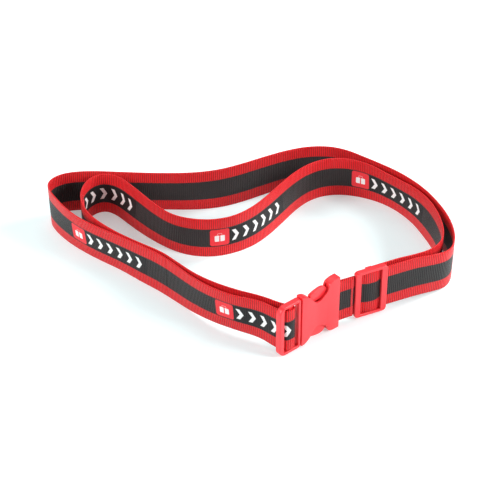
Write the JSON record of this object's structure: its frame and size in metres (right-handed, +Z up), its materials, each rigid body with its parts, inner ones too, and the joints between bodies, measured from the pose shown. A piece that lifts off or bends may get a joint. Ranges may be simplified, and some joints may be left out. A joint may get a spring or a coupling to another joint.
{
  "type": "luggage strap",
  "caption": "Webbing luggage strap, buckled and standing in a double loop on its edge, with a side-release buckle and a sliding length adjuster.",
  "frame": {"origin": "under the middle of the loop's bounding box, on the surface the strap stands on", "axes": "+X along the loop's long side, towards the slider; +Y towards the back of the loop; +Z up, along the webbing's width"},
  "size_m": [0.4464, 0.3226, 0.064],
  "materials": {
    "webbing": "ribbed",
    "plastic": "moulded",
    "thread": "matte"
  },
  "bodies": {
    "strap": {"buckle_female": "plastic", "stitching_female_end": "thread", "webbing_female_end": "webbing", "webbing_run": "webbing", "webbing_right_lead": "webbing", "webbing_outer_right": "webbing", "webbing_outer_back_right": "webbing", "webbing_outer_back_left": "webbing", "webbing_outer_left": "webbing", "webbing_front": "webbing", "webbing_front_lead": "webbing", "webbing_tail_lead": "webbing", "webbing_tail": "webbing", "webbing_inner_left": "webbing", "webbing_inner_wave": "webbing", "webbing_inner_crest": "webbing", "webbing_inner_right": "webbing", "webbing_rear_lead": "webbing"},
    "male": {"buckle_male": "plastic", "webbing_at_male": "webbing"},
    "latch_upper": {"latch_arm_upper": "plastic"},
    "latch_lower": {"latch_arm_lower": "plastic"},
    "adjuster": {"slider": "plastic", "webbing_slider_end": "webbing", "stitching_slider_end": "thread"}
  },
  "joints": [
    {"name": "buckle_release", "type": "slide", "parent": "strap", "child": "male", "axis": [-0.7513, -0.66, 0], "range_m": [0, 0.042], "deforming": ["webbing_front_lead", "webbing_tail_lead", "latch_arm_upper", "latch_arm_lower"]},
    {"name": "latch_upper_squeeze", "type": "hinge", "parent": "male", "child": "latch_upper", "pos_m": [0.05786, -0.13529, 0.0517], "axis": [-0.66, 0.7513, 0], "range_deg": [0, 20], "stiffness_Nm_per_rad": 0.7},
    {"name": "latch_lower_squeeze", "type": "hinge", "parent": "male", "child": "latch_lower", "pos_m": [0.05786, -0.13529, 0.0123], "axis": [0.66, -0.7513, 0], "range_deg": [0, 20], "stiffness_Nm_per_rad": 0.7},
    {"name": "adjuster_slide", "type": "slide", "parent": "strap", "child": "adjuster", "axis": [0.9026, 0.4305, 0], "range_m": [0, 0.036], "deforming": ["webbing_rear_lead"]}
  ]
}
